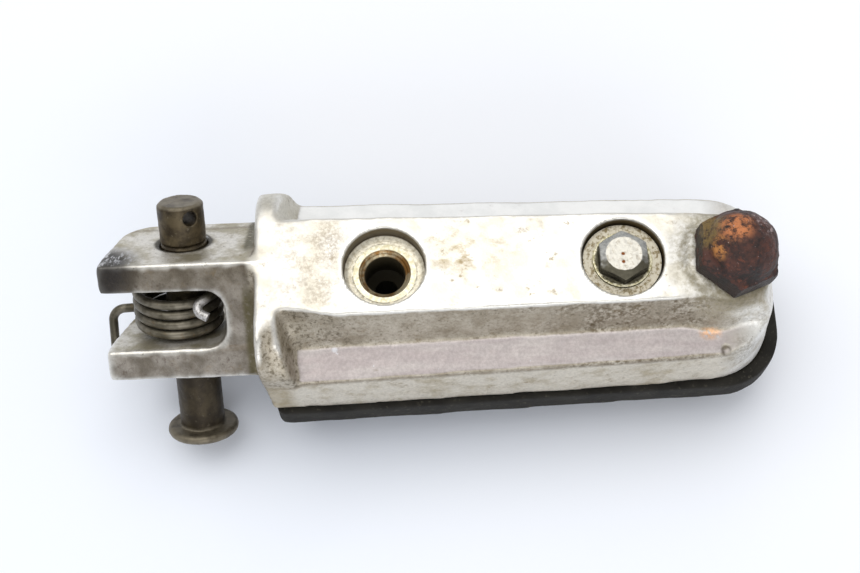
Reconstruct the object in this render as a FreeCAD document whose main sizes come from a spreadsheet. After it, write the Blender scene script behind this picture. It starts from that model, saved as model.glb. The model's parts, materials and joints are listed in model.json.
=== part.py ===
import FreeCAD, Part
import math
import os
import re
import Sketcher

# Folding foot peg of a motorcycle, lying on its rubber tread with the
# underside up. Row frame: origin on the tread plane midway between the two
# pad bolts, +X towards the peg's tip, +Y across, +Z up. Millimetres.
#
# The clevis and all that sits on the pivot pin are drawn in the fork frame:
# its origin is the pin's centre, its x is the row's +X, its y runs along the
# pin towards the cross hole and its z is normal to the fork's face.

SIZES = {
    # whole peg
    "seat_height": 20,          # underside of the casting above the tread plane
    "deck_height": 46,          # flat main face of the casting
    "bolt_pitch": 50,
    # plan of the casting
    "collar_start": 52.6,       # X distance from origin to the casting's inner end
    "tip_end": 59.2,
    "inner_half_width": 22.3,
    "outer_half_near": 19.0,
    "outer_half_far": 20.0,
    "casting_draft": 4,
    "tip_corner": 14,
    "collar_shoulder": 10.5,
    "collar_length": 4.9,
    "collar_foot_inset": 1.6,
    "collar_side_inset": 0.3,
    # side recesses: a sloping wall beside the main face and a ledge below it
    "deck_half_inner": 10.9,
    "deck_half_outer": 9.5,
    "deck_far_shift": 1.1,      # the far wall stands this much farther out at the inner end
    "wall_foot_inner": 14.1,
    "wall_foot_outer": 11.4,
    "wall_foot_height": 36,
    "ledge_edge_height": 32.7,
    "ledge_reach": 26,
    "ledge_edge_drop": 1.4,
    "recess_end_slope": 3.3,
    # tip
    "tip_slope_start": 41,
    "tip_slope_end": 54.5,
    "tip_shoulder_height": 42,
    "tip_nose": 57.6,
    "tip_nose_height": 36,
    # core pocket hidden between the casting and the pad
    "core_half_length": 12,
    "core_half_width": 15,
    "core_depth": 11,
    # pad bolts
    "counterbore_radius": 8.7,
    "counterbore_depth": 4.1,
    "boss_radius": 6.7,
    "boss_gap": 0.15,
    "boss_bore_radius": 4.3,
    "boss_mouth_radius": 5.55,
    "boss_mouth_depth": 1.25,
    "boss_bore_depth": 8,
    "thread_radius": 2.5,       # M6 minor radius
    # fork
    "pin_x": 68.5,              # X distance from origin to the pin
    "pin_y": 1.45,
    "pin_z": 28.7,
    "fork_tilt": 46,
    "far_ear_face": 13.3,       # outer faces of the two ears, from the pin's centre
    "near_ear_face": 14,
    "slot_half_width": 6.5,
    "fork_face": 12.3,
    "fork_back": 12.2,
    "ear_corner": 17.4,
    "ear_side": 17,
    "ear_side_height": 6.5,
    "ear_side_lean": 3.2,
    "ear_round": 8.5,
    "slot_end": 9,
    "slot_corner": 4.2,
    "fork_root": 17.6,
    "ear_bore_radius": 5.05,
    "ear_mouth_chamfer": 0.45,
    # pivot pin
    "pin_radius": 5,
    "pin_free_end": 22.8,
    "pin_shoulder": 30.55,      # under the head, from the pin's centre
    "pin_head_radius": 8,
    "pin_head_thick": 2.2,
    "pin_head_rim": 1.05,
    "pin_end_chamfer": 0.7,
    "pin_groove_radius": 4.6,   # worn groove where the far ear's mouth rubs
    "pin_groove_start": 13.4,
    "pin_groove_end": 14,
    "cotter_hole_radius": 1.6,
    "cotter_hole_place": 20.1,
    "cotter_hole_turn": 33,
    # return spring
    "wire_radius": 1.02,
    "coil_radius": 8.75,
    "coil_pitch": 2.3,
    "coil_turns": 4.25,
    "coil_bottom": -5.35,
    "coil_shift": 2.6,          # the coil hangs off the pin's axis towards -X
    "coil_lean": 0.45,          # and lies lower at the fork's face than at its back
    "long_leg_run": 16.8,
    "long_leg_drop": 11.5,
    "long_leg_bend": 3,
    "short_leg_rise": 8.5,
    "short_leg_bend": 4,
    "hook_x": 2,
    "hook_y": 2.3,
    "hook_z": 11.4,
    "hook_bend": 1.7,
    "hook_end_x": 5.6,
    "hook_end_y": 0.7,
    "hook_end_z": 12.2,
    # bank feeler
    "feeler_x": 47.6,
    "feeler_y": -0.8,
    "feeler_seat": 45.6,
    "feeler_tilt": 15,
    "feeler_flats": 17,
    "feeler_hex": 5,
    "feeler_turn": -5,
    "feeler_dome_radius": 8.2,
    "feeler_dome_centre": 3.8,
    "feeler_shank_radius": 3.35,
    "feeler_shank_length": 12,
    "feeler_hole_radius": 3.4,
    "boss_seat_radius": 9.9,
    "boss_foot_radius": 12.4,
    "boss_skirt": 11,
    # pad: tread rubber with its steel plate
    "rubber_inner_end": 50.75,
    "rubber_tip": 62,
    "rubber_half_inner": 23.6,
    "rubber_half_outer": 20.4,
    "rubber_side": 8,
    "tread_inset": 2,
    "tread_taper": 12,
    "tread_corner": 3,
    "rubber_corner": 2.5,
    "groove_width": 3,
    "groove_depth": 3,
    "groove_pitch": 9.5,
    "groove_count": 10,
    "plate_thick": 2.5,
    "plate_margin": 3.5,
    "plate_corner": 3,
    # hexagon bolt and its washer
    "washer_radius": 8.25,
    "washer_bore": 3.2,
    "washer_thick": 2,
    "bolt_flats": 10,
    "bolt_flange_radius": 6.3,
    "bolt_flange_thick": 0.5,
    "bolt_head": 3.3,
    "bolt_chamfer_radius": 3.8,
    "bolt_shank_radius": 3,
    "bolt_shank_length": 9.5,
    "bolt_thread_radius": 2.45,
    "bolt_thread_length": 10,
}

FAR = 80                        # reaches past the whole peg

doc = FreeCAD.newDocument("foot_peg")
sheet = doc.addObject("Spreadsheet::Sheet", "Sizes")
for row, (alias, number) in enumerate(SIZES.items(), start=1):
    sheet.set(f"A{row}", alias)
    sheet.set(f"B{row}", str(number))
    sheet.setAlias(f"B{row}", alias)
doc.recompute()


# ---------------------------------------------------------------- helpers

def size(alias):
    """A driving dimension as the sheet holds it."""
    return float(sheet.get(alias))


def bound(text):
    """The text with each sheet alias written as a reference to its cell."""
    return re.sub(r"[a-z]\w*", lambda word: "Sizes." + word[0] if word[0] in SIZES else word[0], str(text))


def drive(thing, **properties):
    """Binds properties to expressions; a double underscore stands for a dot."""
    for name, text in properties.items():
        thing.setExpression(name.replace("__", "."), bound(text))


def in_fork_frame(thing):
    drive(thing, Placement__Base__x="-pin_x", Placement__Base__y="pin_y", Placement__Base__z="pin_z",
          Placement__Rotation="rotation(vector(1; 0; 0); fork_tilt)")


def new_body(name):
    body = doc.addObject("PartDesign::Body", name)
    body.Label = name
    return body


def new_sketch(body, name, role, offset="0"):
    """A sketch on one of the body's origin planes, moved along its normal."""
    plane = next(item for item in body.Origin.OriginFeatures if item.Role == role)
    sketch = body.newObject("Sketcher::SketchObject", name)
    sketch.AttachmentSupport = (plane, [""])
    sketch.MapMode = "FlatFace"
    drive(sketch, AttachmentOffset__Base__z=offset)
    return sketch


def polygon(sketch, points):
    """A closed polygon whose corners are all held by bound dimensions."""
    count = len(points)
    spread = [2 * math.pi * index / count for index in range(count)]
    seeds = [FreeCAD.Vector(FAR * math.cos(angle), FAR * math.sin(angle), 0) for angle in spread]
    for index in range(count):
        sketch.addGeometry(Part.LineSegment(seeds[index], seeds[(index + 1) % count]), False)
    for index in range(count):
        sketch.addConstraint(Sketcher.Constraint("Coincident", index, 2, (index + 1) % count, 1))
    for index, corner in enumerate(points):
        for direction, text in zip(("DistanceX", "DistanceY"), corner):
            held = sketch.addConstraint(Sketcher.Constraint(direction, -1, 1, index, 1, 1.0))
            sketch.setExpression(f"Constraints[{held}]", bound(text))
    return sketch


def circle(sketch, radius, x="0", y="0"):
    index = sketch.addGeometry(Part.Circle(FreeCAD.Vector(1, 1, 0), FreeCAD.Vector(0, 0, 1), 1), False)
    for direction, text in (("DistanceX", x), ("DistanceY", y)):
        held = sketch.addConstraint(Sketcher.Constraint(direction, -1, 1, index, 3, 1.0))
        sketch.setExpression(f"Constraints[{held}]", bound(text))
    held = sketch.addConstraint(Sketcher.Constraint("Radius", index, 1.0))
    sketch.setExpression(f"Constraints[{held}]", bound(radius))
    return sketch


def feature(body, kind, name, profile, **properties):
    made = body.newObject("PartDesign::" + kind, name)
    made.Profile = profile
    drive(made, **properties)
    return made


def pad(body, name, profile, length, both_ways=False):
    made = feature(body, "Pad", name, profile, Length=length)
    made.Midplane = both_ways
    return made


def pocket(body, name, profile, depth, both_ways=False, flip=False):
    made = feature(body, "Pocket", name, profile, Length=depth)
    made.Midplane = both_ways
    made.Reversed = flip
    return made


def dress(body, kind, name, amount, chosen):
    """A fillet or chamfer on the edges of the body's tip that a test picks."""
    doc.recompute()
    base = body.Tip
    names = [f"Edge{index}" for index, edge in enumerate(base.Shape.Edges, start=1) if chosen(edge)]
    made = body.newObject("PartDesign::" + kind, name)
    made.Base = (base, names)
    drive(made, **{"Radius" if kind == "Fillet" else "Size": amount})
    return made


def spans(edge, low, high, axis):
    """True where the edge runs at least from low to high along an axis."""
    box = edge.BoundBox
    return (getattr(box, axis + "Min") < low) and (getattr(box, axis + "Max") > high)


def middle(edge):
    return edge.BoundBox.Center


# ---------------------------------------------------------------- casting

def combine(kind, name, members):
    made = doc.addObject("Part::" + kind, name)
    made.Label = name
    if kind == "Cut":
        made.Base, made.Tool = members
    else:
        made.Shapes = members
    return made


def cylinder(name, radius, length, x="0", y="0", z="0"):
    made = doc.addObject("Part::Cylinder", name)
    drive(made, Radius=radius, Height=length,
          Placement__Base__x=x, Placement__Base__y=y, Placement__Base__z=z)
    return made


def cone(name, low_radius, high_radius, length):
    made = doc.addObject("Part::Cone", name)
    drive(made, Radius1=low_radius, Radius2=high_radius, Height=length)
    return made


def tilted(thing, depth):
    """Stands a primitive on the feeler's leaning axis, depth below its seat."""
    drive(thing, Placement__Base__x=f"feeler_x - ({depth}) * sin(feeler_tilt)",
          Placement__Base__y="feeler_y",
          Placement__Base__z=f"feeler_seat - ({depth}) * cos(feeler_tilt)",
          Placement__Rotation="rotation(vector(0; 1; 0); feeler_tilt)")
    return thing


def casting_plan():
    """The casting's drafted outline as a full-height block, round at the tip."""
    body = new_body("casting_plan")
    outline = polygon(new_sketch(body, "plan_outline", "XY_Plane", "seat_height"), [
        ("-collar_start + collar_foot_inset", "-inner_half_width"), ("tip_end", "-outer_half_near"),
        ("tip_end", "outer_half_far"), ("-collar_start + collar_foot_inset", "inner_half_width")])
    block = pad(body, "plan_block", outline, "deck_height + 4 - seat_height")
    drive(block, TaperAngle="-casting_draft")
    tip = size("tip_end") - 5
    dress(body, "Fillet", "tip_corners", "tip_corner",
          lambda edge: middle(edge).x > tip and spans(edge, 25, 40, "Z"))
    return body


def recess_cutter(name, sign, shift):
    """What is missing beside the main face: a wall, shifted at its inner end, and a falling ledge."""
    body = new_body(name)
    sections = []
    for place, offset, deck, foot in (
            ("inner", "-collar_start - 2", f"(deck_half_inner + {shift})", f"(wall_foot_inner + {shift})"),
            ("outer", "tip_end + 3", "deck_half_outer", "wall_foot_outer")):
        sketch = new_sketch(body, f"{name}_{place}", "YZ_Plane", offset)
        sections.append(polygon(sketch, [
            (f"{sign}{foot}", "wall_foot_height"),
            (f"{sign}ledge_reach", "ledge_edge_height - ledge_edge_drop"),
            (f"{sign}ledge_reach", "2 * deck_height - wall_foot_height"),
            (f"{sign}(2 * {deck} - {foot})", "2 * deck_height - wall_foot_height")]))
    loft = body.newObject("PartDesign::AdditiveLoft", name + "_loft")
    loft.Profile = sections[0]
    loft.Sections = [sections[1]]
    loft.Ruled = True
    return body


def deck_cutter():
    """Everything above the main face and above the slope at the tip."""
    body = new_body("deck_cutter")
    profile = polygon(new_sketch(body, "deck_line", "XZ_Plane"), [
        ("-collar_start - 2", "deck_height"), ("tip_slope_start", "deck_height"),
        ("tip_slope_end", "tip_shoulder_height"), ("tip_nose", "tip_nose_height"),
        ("tip_nose + 5", "tip_nose_height"), ("tip_nose + 5", "deck_height + 9"),
        ("-collar_start - 2", "deck_height + 9")])
    pad(body, "deck_cut", profile, "2 * ledge_reach", both_ways=True)
    return body


def collar():
    """Full-width collar at the fork's end, its shoulders well rounded."""
    body = new_body("collar")
    profile = polygon(new_sketch(body, "collar_side", "XZ_Plane"), [
        ("-collar_start", "deck_height"), ("-collar_start + collar_length", "deck_height"),
        ("-collar_start + collar_length + recess_end_slope", "wall_foot_height - 1"),
        ("-collar_start + collar_length + recess_end_slope", "seat_height"),
        ("-collar_start + collar_foot_inset", "seat_height")])
    pad(body, "collar_block", profile, "2 * inner_half_width - 2 * collar_side_inset", both_ways=True)
    top = size("deck_height") - 0.1
    dress(body, "Fillet", "collar_shoulders", "collar_shoulder",
          lambda edge: middle(edge).z > top and abs(middle(edge).y) > 5)
    return body


def fork():
    """Two ears on a root, drawn in the fork frame."""
    body = new_body("fork")
    outline = polygon(new_sketch(body, "ear_outline", "XZ_Plane", "-far_ear_face"), [
        ("fork_root", "fork_face"), ("-ear_corner", "fork_face"), ("-ear_side", "ear_side_height"),
        ("-ear_side + ear_side_lean", "-fork_back"), ("fork_root", "-fork_back")])
    pad(body, "fork_block", outline, "far_ear_face + near_ear_face")
    back = -size("fork_back") + 0.1
    dress(body, "Fillet", "ear_rounds", "ear_round",
          lambda edge: middle(edge).z < back and middle(edge).x < -10)
    slot = polygon(new_sketch(body, "slot_outline", "XY_Plane"), [
        ("-ear_corner - 5", "-slot_half_width"), ("slot_end", "-slot_half_width"),
        ("slot_end", "slot_half_width"), ("-ear_corner - 5", "slot_half_width")])
    pocket(body, "slot", slot, "4 * fork_face", both_ways=True)
    crotch = size("slot_end") - 0.1
    dress(body, "Fillet", "slot_corners", "slot_corner",
          lambda edge: abs(middle(edge).x - crotch) < 0.2 and spans(edge, -5, 5, "Z"))
    bore = circle(new_sketch(body, "ear_bore_circle", "XZ_Plane"), "ear_bore_radius")
    pocket(body, "ear_bore", bore, "4 * near_ear_face", both_ways=True)
    inside = size("slot_half_width") + 1
    mouth = 2 * size("ear_bore_radius")
    dress(body, "Chamfer", "ear_mouths", "ear_mouth_chamfer",
          lambda edge: abs(middle(edge).y) > inside and abs(edge.BoundBox.XLength - mouth) < 0.1
          and edge.BoundBox.YLength < 0.1)
    in_fork_frame(body)
    return body


def peg_casting():
    plan = casting_plan()
    cutters = [recess_cutter("recess_far", "", "deck_far_shift"), recess_cutter("recess_near", "-", "0"),
               deck_cutter()]
    block = combine("Cut", "casting_block", (plan, combine("MultiFuse", "block_cutters", cutters)))
    skirt = tilted(cone("feeler_skirt", "boss_foot_radius", "boss_seat_radius", "boss_skirt"), "boss_skirt")
    boss = combine("MultiCommon", "feeler_boss", [skirt, plan])
    blank = combine("MultiFuse", "casting_blank", [block, collar(), fork(), boss])
    core = doc.addObject("Part::Box", "core")
    drive(core, Length="2 * core_half_length", Width="2 * core_half_width",
          Height="seat_height + core_depth",
          Placement__Base__x="-core_half_length", Placement__Base__y="-core_half_width")
    holes = [core]
    for side, x in (("inner", "-bolt_pitch / 2"), ("outer", "bolt_pitch / 2")):
        holes.append(cylinder(f"counterbore_{side}", "counterbore_radius", "counterbore_depth + 5",
                              x=x, z="deck_height - counterbore_depth"))
        holes.append(cylinder(f"boss_passage_{side}", "boss_radius + boss_gap", "deck_height", x=x))
    holes.append(tilted(cylinder("feeler_hole", "feeler_hole_radius", "feeler_shank_length + 2"),
                        "feeler_shank_length + 1"))
    return combine("Cut", "peg_casting", (blank, combine("MultiFuse", "casting_holes", holes)))


# ---------------------------------------------------------------- pad

def pad_outline(body, name, height, margin):
    """The pad's plan, drawn smaller all round by a margin."""
    return polygon(new_sketch(body, name, "XY_Plane", height), [
        (f"-rubber_inner_end + {margin}", f"-rubber_half_inner + {margin}"),
        (f"rubber_tip - {margin}", f"-rubber_half_outer + {margin}"),
        (f"rubber_tip - {margin}", f"rubber_half_outer - {margin}"),
        (f"-rubber_inner_end + {margin}", f"rubber_half_inner - {margin}")])


def round_pad_corners(body, name, tip_radius, inner_radius, low, high):
    """Fillets the four upright corners between two heights."""
    def upright(edge):
        return spans(edge, low + 0.1, high - 0.1, "Z") and edge.BoundBox.XLength < 8
    dress(body, "Fillet", name + "_tip", tip_radius,
          lambda edge: upright(edge) and middle(edge).x > 50)
    dress(body, "Fillet", name + "_inner", inner_radius,
          lambda edge: upright(edge) and middle(edge).x < -40)


def tread_rubber(plate):
    """Rubber block with cross grooves below, moulded round the steel plate."""
    body = new_body("rubber_block")
    seat = size("seat_height")
    side_foot = seat - size("rubber_side")
    tread = pad(body, "tread_block", pad_outline(body, "tread_outline", "seat_height - rubber_side",
                                                 "tread_inset"), "seat_height - rubber_side")
    tread.Reversed = True
    drive(tread, TaperAngle="-tread_taper")
    round_pad_corners(body, "tread_corners", "tip_corner - tread_inset", "tread_corner", 0, side_foot)
    pad(body, "rubber_side_block", pad_outline(body, "side_outline", "seat_height - rubber_side", "0"),
        "rubber_side")
    round_pad_corners(body, "side_corners", "tip_corner", "rubber_corner", side_foot, seat)
    groove = polygon(new_sketch(body, "groove_section", "XZ_Plane"), [
        ("-groove_pitch * (groove_count - 1) / 2 - groove_width / 2", "-1"),
        ("-groove_pitch * (groove_count - 1) / 2 + groove_width / 2", "-1"),
        ("-groove_pitch * (groove_count - 1) / 2 + groove_width / 2", "groove_depth"),
        ("-groove_pitch * (groove_count - 1) / 2 - groove_width / 2", "groove_depth")])
    first = pocket(body, "first_groove", groove, "3 * rubber_half_inner", both_ways=True)
    doc.recompute()
    row = body.newObject("PartDesign::LinearPattern", "grooves")
    row.Originals = [first]
    row.Direction = (next(item for item in body.Origin.OriginFeatures if item.Role == "X_Axis"), [""])
    drive(row, Length="groove_pitch * (groove_count - 1)", Occurrences="groove_count")
    body.Tip = row
    return combine("Cut", "tread_rubber", (body, plate))


def pad_plate():
    """Steel plate bonded into the rubber; the casting sits on it."""
    body = new_body("pad_plate")
    pad(body, "plate", pad_outline(body, "plate_outline", "seat_height - plate_thick", "plate_margin"),
        "plate_thick")
    seat = size("seat_height")
    round_pad_corners(body, "plate_corners", "tip_corner - plate_margin", "plate_corner",
                      seat - size("plate_thick"), seat)
    return body


def turned(body, name, points):
    """A solid of revolution about the sketch's upright axis."""
    profile = polygon(new_sketch(body, name + "_section", "XZ_Plane"), points)
    made = body.newObject("PartDesign::Revolution", name)
    made.Profile = profile
    made.ReferenceAxis = (profile, ["V_Axis"])
    made.Angle = 360
    return made


def boss(name, side):
    """Threaded collar welded on the plate; it rises into the casting."""
    body = new_body(name)
    top = "deck_height - counterbore_depth - seat_height"
    turned(body, name + "_ring", [
        ("thread_radius", "0"), ("boss_radius", "0"), ("boss_radius", top), ("boss_mouth_radius", top),
        ("boss_bore_radius", f"{top} - boss_mouth_depth"), ("boss_bore_radius", f"{top} - boss_bore_depth"),
        ("thread_radius", f"{top} - boss_bore_depth - boss_bore_radius + thread_radius")])
    drive(body, Placement__Base__x=f"{side} * bolt_pitch / 2", Placement__Base__z="seat_height")
    return body


# ---------------------------------------------------------------- bolt, washer, feeler

def hexagon(body, name, flats):
    """A hexagon with its corners towards +Y and -Y."""
    corner = f"{flats} / sqrt(3)"
    half = f"{flats} / 2"
    return polygon(new_sketch(body, name, "XY_Plane"), [
        ("0", f"-{corner}"), (half, f"-{corner} / 2"), (half, f"{corner} / 2"),
        ("0", corner), (f"-{half}", f"{corner} / 2"), (f"-{half}", f"-{corner} / 2")])


def chamfer_hexagon(body, name, flats, top, inside):
    """Turns the hexagon's upper corners down to a circle of a given radius."""
    profile = polygon(new_sketch(body, name + "_section", "XZ_Plane"), [
        (inside, f"{top} + 0.01"), (f"{flats}", f"{top} + 0.01"),
        (f"{flats}", f"{top} - ({flats} - {inside}) * tan(30)")])
    made = body.newObject("PartDesign::Groove", name)
    made.Profile = profile
    made.ReferenceAxis = (profile, ["V_Axis"])
    made.Angle = 360
    return made


def pad_bolt():
    body = new_body("pad_bolt")
    pad(body, "bolt_hexagon", hexagon(body, "bolt_hexagon_outline", "bolt_flats"),
        "bolt_flange_thick + bolt_head")
    chamfer_hexagon(body, "bolt_chamfer", "bolt_flats", "bolt_flange_thick + bolt_head",
                    "bolt_chamfer_radius")
    turned(body, "bolt_shank", [
        ("0", "bolt_flange_thick"), ("bolt_flange_radius", "bolt_flange_thick"),
        ("bolt_flange_radius", "0"), ("bolt_shank_radius", "0"),
        ("bolt_shank_radius", "-bolt_shank_length"),
        ("bolt_thread_radius", "-bolt_shank_length - bolt_shank_radius + bolt_thread_radius"),
        ("bolt_thread_radius", "-bolt_shank_length - bolt_thread_length"),
        ("0", "-bolt_shank_length - bolt_thread_length")])
    drive(body, Placement__Base__x="bolt_pitch / 2",
          Placement__Base__z="deck_height - counterbore_depth + washer_thick")
    return body


def bolt_washer():
    body = new_body("bolt_washer")
    turned(body, "washer_ring", [
        ("washer_bore", "0"), ("washer_radius", "0"), ("washer_radius", "washer_thick"),
        ("washer_bore", "washer_thick")])
    drive(body, Placement__Base__x="bolt_pitch / 2", Placement__Base__z="deck_height - counterbore_depth")
    return body


def bank_feeler():
    """Domed hexagon screwed into the leaning boss at the tip."""
    body = new_body("bank_feeler")
    pad(body, "feeler_hexagon", hexagon(body, "feeler_outline", "feeler_flats"), "feeler_hex")
    chamfer_hexagon(body, "feeler_chamfer", "feeler_flats", "feeler_hex", "feeler_dome_radius + 0.3")
    doc.recompute()
    dome = body.newObject("PartDesign::AdditiveSphere", "feeler_dome")
    dome.Angle1 = 0
    drive(dome, Radius="feeler_dome_radius", Placement__Base__z="feeler_dome_centre")
    shank = new_sketch(body, "feeler_shank_circle", "XY_Plane")
    pad(body, "feeler_shank", circle(shank, "feeler_shank_radius"), "feeler_shank_length").Reversed = True
    tilted(body, "0")
    drive(body, Placement__Rotation="rotation(vector(0; 1; 0); feeler_tilt) * "
                                    "rotation(vector(0; 0; 1); feeler_turn)")
    return body


# ---------------------------------------------------------------- pin and spring

def pivot_pin():
    body = new_body("pivot_pin")
    profile = polygon(new_sketch(body, "pin_section", "XY_Plane"), [
        ("0", "pin_free_end"), ("pin_radius - pin_end_chamfer", "pin_free_end"),
        ("pin_radius", "pin_free_end - pin_end_chamfer"), ("pin_radius", "pin_groove_end"),
        ("pin_groove_radius", "pin_groove_end"), ("pin_groove_radius", "pin_groove_start"),
        ("pin_radius", "pin_groove_start"), ("pin_radius", "-pin_shoulder"),
        ("pin_head_radius", "-pin_shoulder"), ("pin_head_radius", "-pin_shoulder - pin_head_thick"),
        ("0", "-pin_shoulder - pin_head_thick")])
    rod = body.newObject("PartDesign::Revolution", "pin_rod")
    rod.Profile = profile
    rod.ReferenceAxis = (profile, ["V_Axis"])
    rod.Angle = 360
    head = -size("pin_shoulder")
    dress(body, "Fillet", "head_rim", "pin_head_rim",
          lambda edge: middle(edge).y < head + 0.1 and edge.BoundBox.XLength > 15)
    cotter = circle(new_sketch(body, "cotter_circle", "YZ_Plane"), "cotter_hole_radius",
                    x="cotter_hole_place")
    drive(cotter, AttachmentOffset__Rotation="rotation(vector(1; 0; 0); cotter_hole_turn - 90)")
    pocket(body, "cotter_hole", cotter, "4 * pin_radius", both_ways=True)
    in_fork_frame(body)
    return body


def wire_path(points, bends):
    """Straight runs through the points, joined by tangent arcs of given radii."""
    edges = []
    start = points[0]
    for before, corner, after, radius in zip(points, points[1:], points[2:], bends):
        incoming = (corner - before).normalize()
        outgoing = (after - corner).normalize()
        half_turn = incoming.getAngle(outgoing) / 2
        reach = radius * math.tan(half_turn)
        arc_start = corner - incoming * reach
        arc_end = corner + outgoing * reach
        inward = (outgoing - incoming).normalize()
        arc_middle = corner + inward * (radius / math.cos(half_turn) - radius)
        edges.append(Part.LineSegment(start, arc_start).toShape())
        edges.append(Part.Arc(arc_start, arc_middle, arc_end).toShape())
        start = arc_end
    edges.append(Part.LineSegment(start, points[-1]).toShape())
    return edges


def coil_at(turns):
    """Centre line of the coil and its direction, so many turns from its start at the fork's back."""
    radius = size("coil_radius")
    angle = 2 * math.pi * turns
    pitch = size("coil_pitch")
    lean = size("coil_lean")
    place = FreeCAD.Vector(radius * math.sin(angle) - size("coil_shift"),
                           size("coil_bottom") + pitch * turns + lean * math.cos(angle),
                           -radius * math.cos(angle))
    direction = FreeCAD.Vector(radius * math.cos(angle),
                               pitch / (2 * math.pi) - lean * math.sin(angle),
                               radius * math.sin(angle))
    return place, direction.normalize()


def coil_edges():
    """The coil as one smooth curve for each eighth of a turn."""
    steps = round(8 * size("coil_turns"))
    edges = []
    for step in range(steps):
        stations = [coil_at((step + part / 4) / 8) for part in range(5)]
        curve = Part.BSplineCurve()
        curve.interpolate(Points=[place for place, _ in stations],
                          InitialTangent=stations[0][1], FinalTangent=stations[-1][1])
        edges.append(curve.toShape())
    return edges


def return_spring():
    """Torsion spring: a close coil between the ears with two bent legs."""
    made = doc.addObject("Part::Feature", "return_spring")
    made.Label = "return_spring"
    start, leaving = coil_at(0)
    end, rising = coil_at(size("coil_turns"))
    # the long leg runs out past the ears and turns down beside the near one
    elbow = start - leaving * size("long_leg_run")
    foot = elbow + FreeCAD.Vector(-0.5, -size("long_leg_drop"), 0)
    long_leg = wire_path([foot, elbow, start], [size("long_leg_bend")])
    # the short leg stands up through the fork's face and hooks back
    hook = FreeCAD.Vector(size("hook_x"), size("hook_y"), size("hook_z"))
    hook_end = FreeCAD.Vector(size("hook_end_x"), size("hook_end_y"), size("hook_end_z"))
    short_leg = wire_path([end, end + rising * size("short_leg_rise"), hook, hook_end],
                          [size("short_leg_bend"), size("hook_bend")])
    path = Part.Wire(long_leg + coil_edges() + short_leg)
    ring = Part.Wire(Part.makeCircle(size("wire_radius"), foot, elbow - foot))
    made.Shape = path.makePipeShell([ring], True, False)
    in_fork_frame(made)
    return made


# ---------------------------------------------------------------- check and write

steel_plate = pad_plate()
SUBPARTS = [
    peg_casting(), tread_rubber(steel_plate), steel_plate, boss("inner_boss", -1), boss("outer_boss", 1),
    pad_bolt(), bolt_washer(), bank_feeler(), pivot_pin(), return_spring(),
]
doc.recompute()

for thing in doc.Objects:
    if "Invalid" in thing.State or "Error" in thing.State:
        raise RuntimeError(f"{thing.Name} failed: {thing.State}")

os.makedirs("parts", exist_ok=True)
for subpart in SUBPARTS:
    shape = subpart.Shape
    if shape.isNull() or not shape.isValid() or not shape.Solids:
        raise RuntimeError(f"{subpart.Label} is not a valid solid")
    print(f"{subpart.Label:14s} {len(shape.Solids)} solid  {shape.Volume:10.1f} mm3  {shape.BoundBox}")
    shape.exportStep(f"parts/{subpart.Label}.step")
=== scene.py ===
import math

import bpy
import numpy as np
from mathutils import Matrix, Vector, noise
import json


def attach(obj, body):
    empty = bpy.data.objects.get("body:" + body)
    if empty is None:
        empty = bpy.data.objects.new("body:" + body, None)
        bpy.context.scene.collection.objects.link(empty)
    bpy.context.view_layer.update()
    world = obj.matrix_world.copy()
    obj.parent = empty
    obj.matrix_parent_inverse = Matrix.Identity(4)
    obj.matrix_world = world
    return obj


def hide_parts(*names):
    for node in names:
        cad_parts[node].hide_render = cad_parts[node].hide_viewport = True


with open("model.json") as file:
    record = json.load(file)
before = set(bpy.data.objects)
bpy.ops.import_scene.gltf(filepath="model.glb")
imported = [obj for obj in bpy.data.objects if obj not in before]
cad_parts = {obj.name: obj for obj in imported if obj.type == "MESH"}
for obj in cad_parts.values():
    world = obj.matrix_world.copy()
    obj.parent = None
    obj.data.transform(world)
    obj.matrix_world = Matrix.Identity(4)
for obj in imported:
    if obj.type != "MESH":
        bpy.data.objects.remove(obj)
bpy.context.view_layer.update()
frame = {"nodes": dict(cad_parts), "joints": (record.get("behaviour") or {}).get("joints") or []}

MM = 0.001

# The pivot pin's own frame, from the joint that turns about it: along the pin
# towards its free end, and normal to the clevis face.
pivot = next(joint for joint in frame["joints"] if joint["name"] == "pivot_turn")
PIN_CENTRE = Vector(pivot["pos_m"])
PIN_ALONG = -Vector(pivot["axis"]).normalized()
FORK_NORMAL = Vector((1, 0, 0)).cross(PIN_ALONG)


# ---------------------------------------------------------------- places on the peg, in millimetres

def fork_point(x, along, out):
    """A point given in the pin's frame, as row millimetres."""
    return tuple(PIN_CENTRE / MM + Vector((x, 0, 0)) + PIN_ALONG * along + FORK_NORMAL * out)


# heights: the flat top once it is worn, the wall's foot by the ledge, the lip's upper edge
WORN_DECK = 45.9
WALL_FOOT = 36
LIP_TOP = 32.7

# along the peg: the middle of the recess's sloped end, the casting's inner end, the ears' last stretch
RECESS_END = -46
CASTING_END = -52.6
EAR_TIPS = -80.5

EMPTY_HOLE = (-25, 0, 0)
BOLT_HOLE = (25, 0, 0)
COUNTERBORE_RADIUS = 8.7
COUNTERBORE_FLOOR = 41.9
PASSAGE_RADIUS = 6.85
PIN_MOUTH = fork_point(0, 13.3, 0)
FEELER_SEAT = (47.6, -0.8, 45.6)

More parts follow.
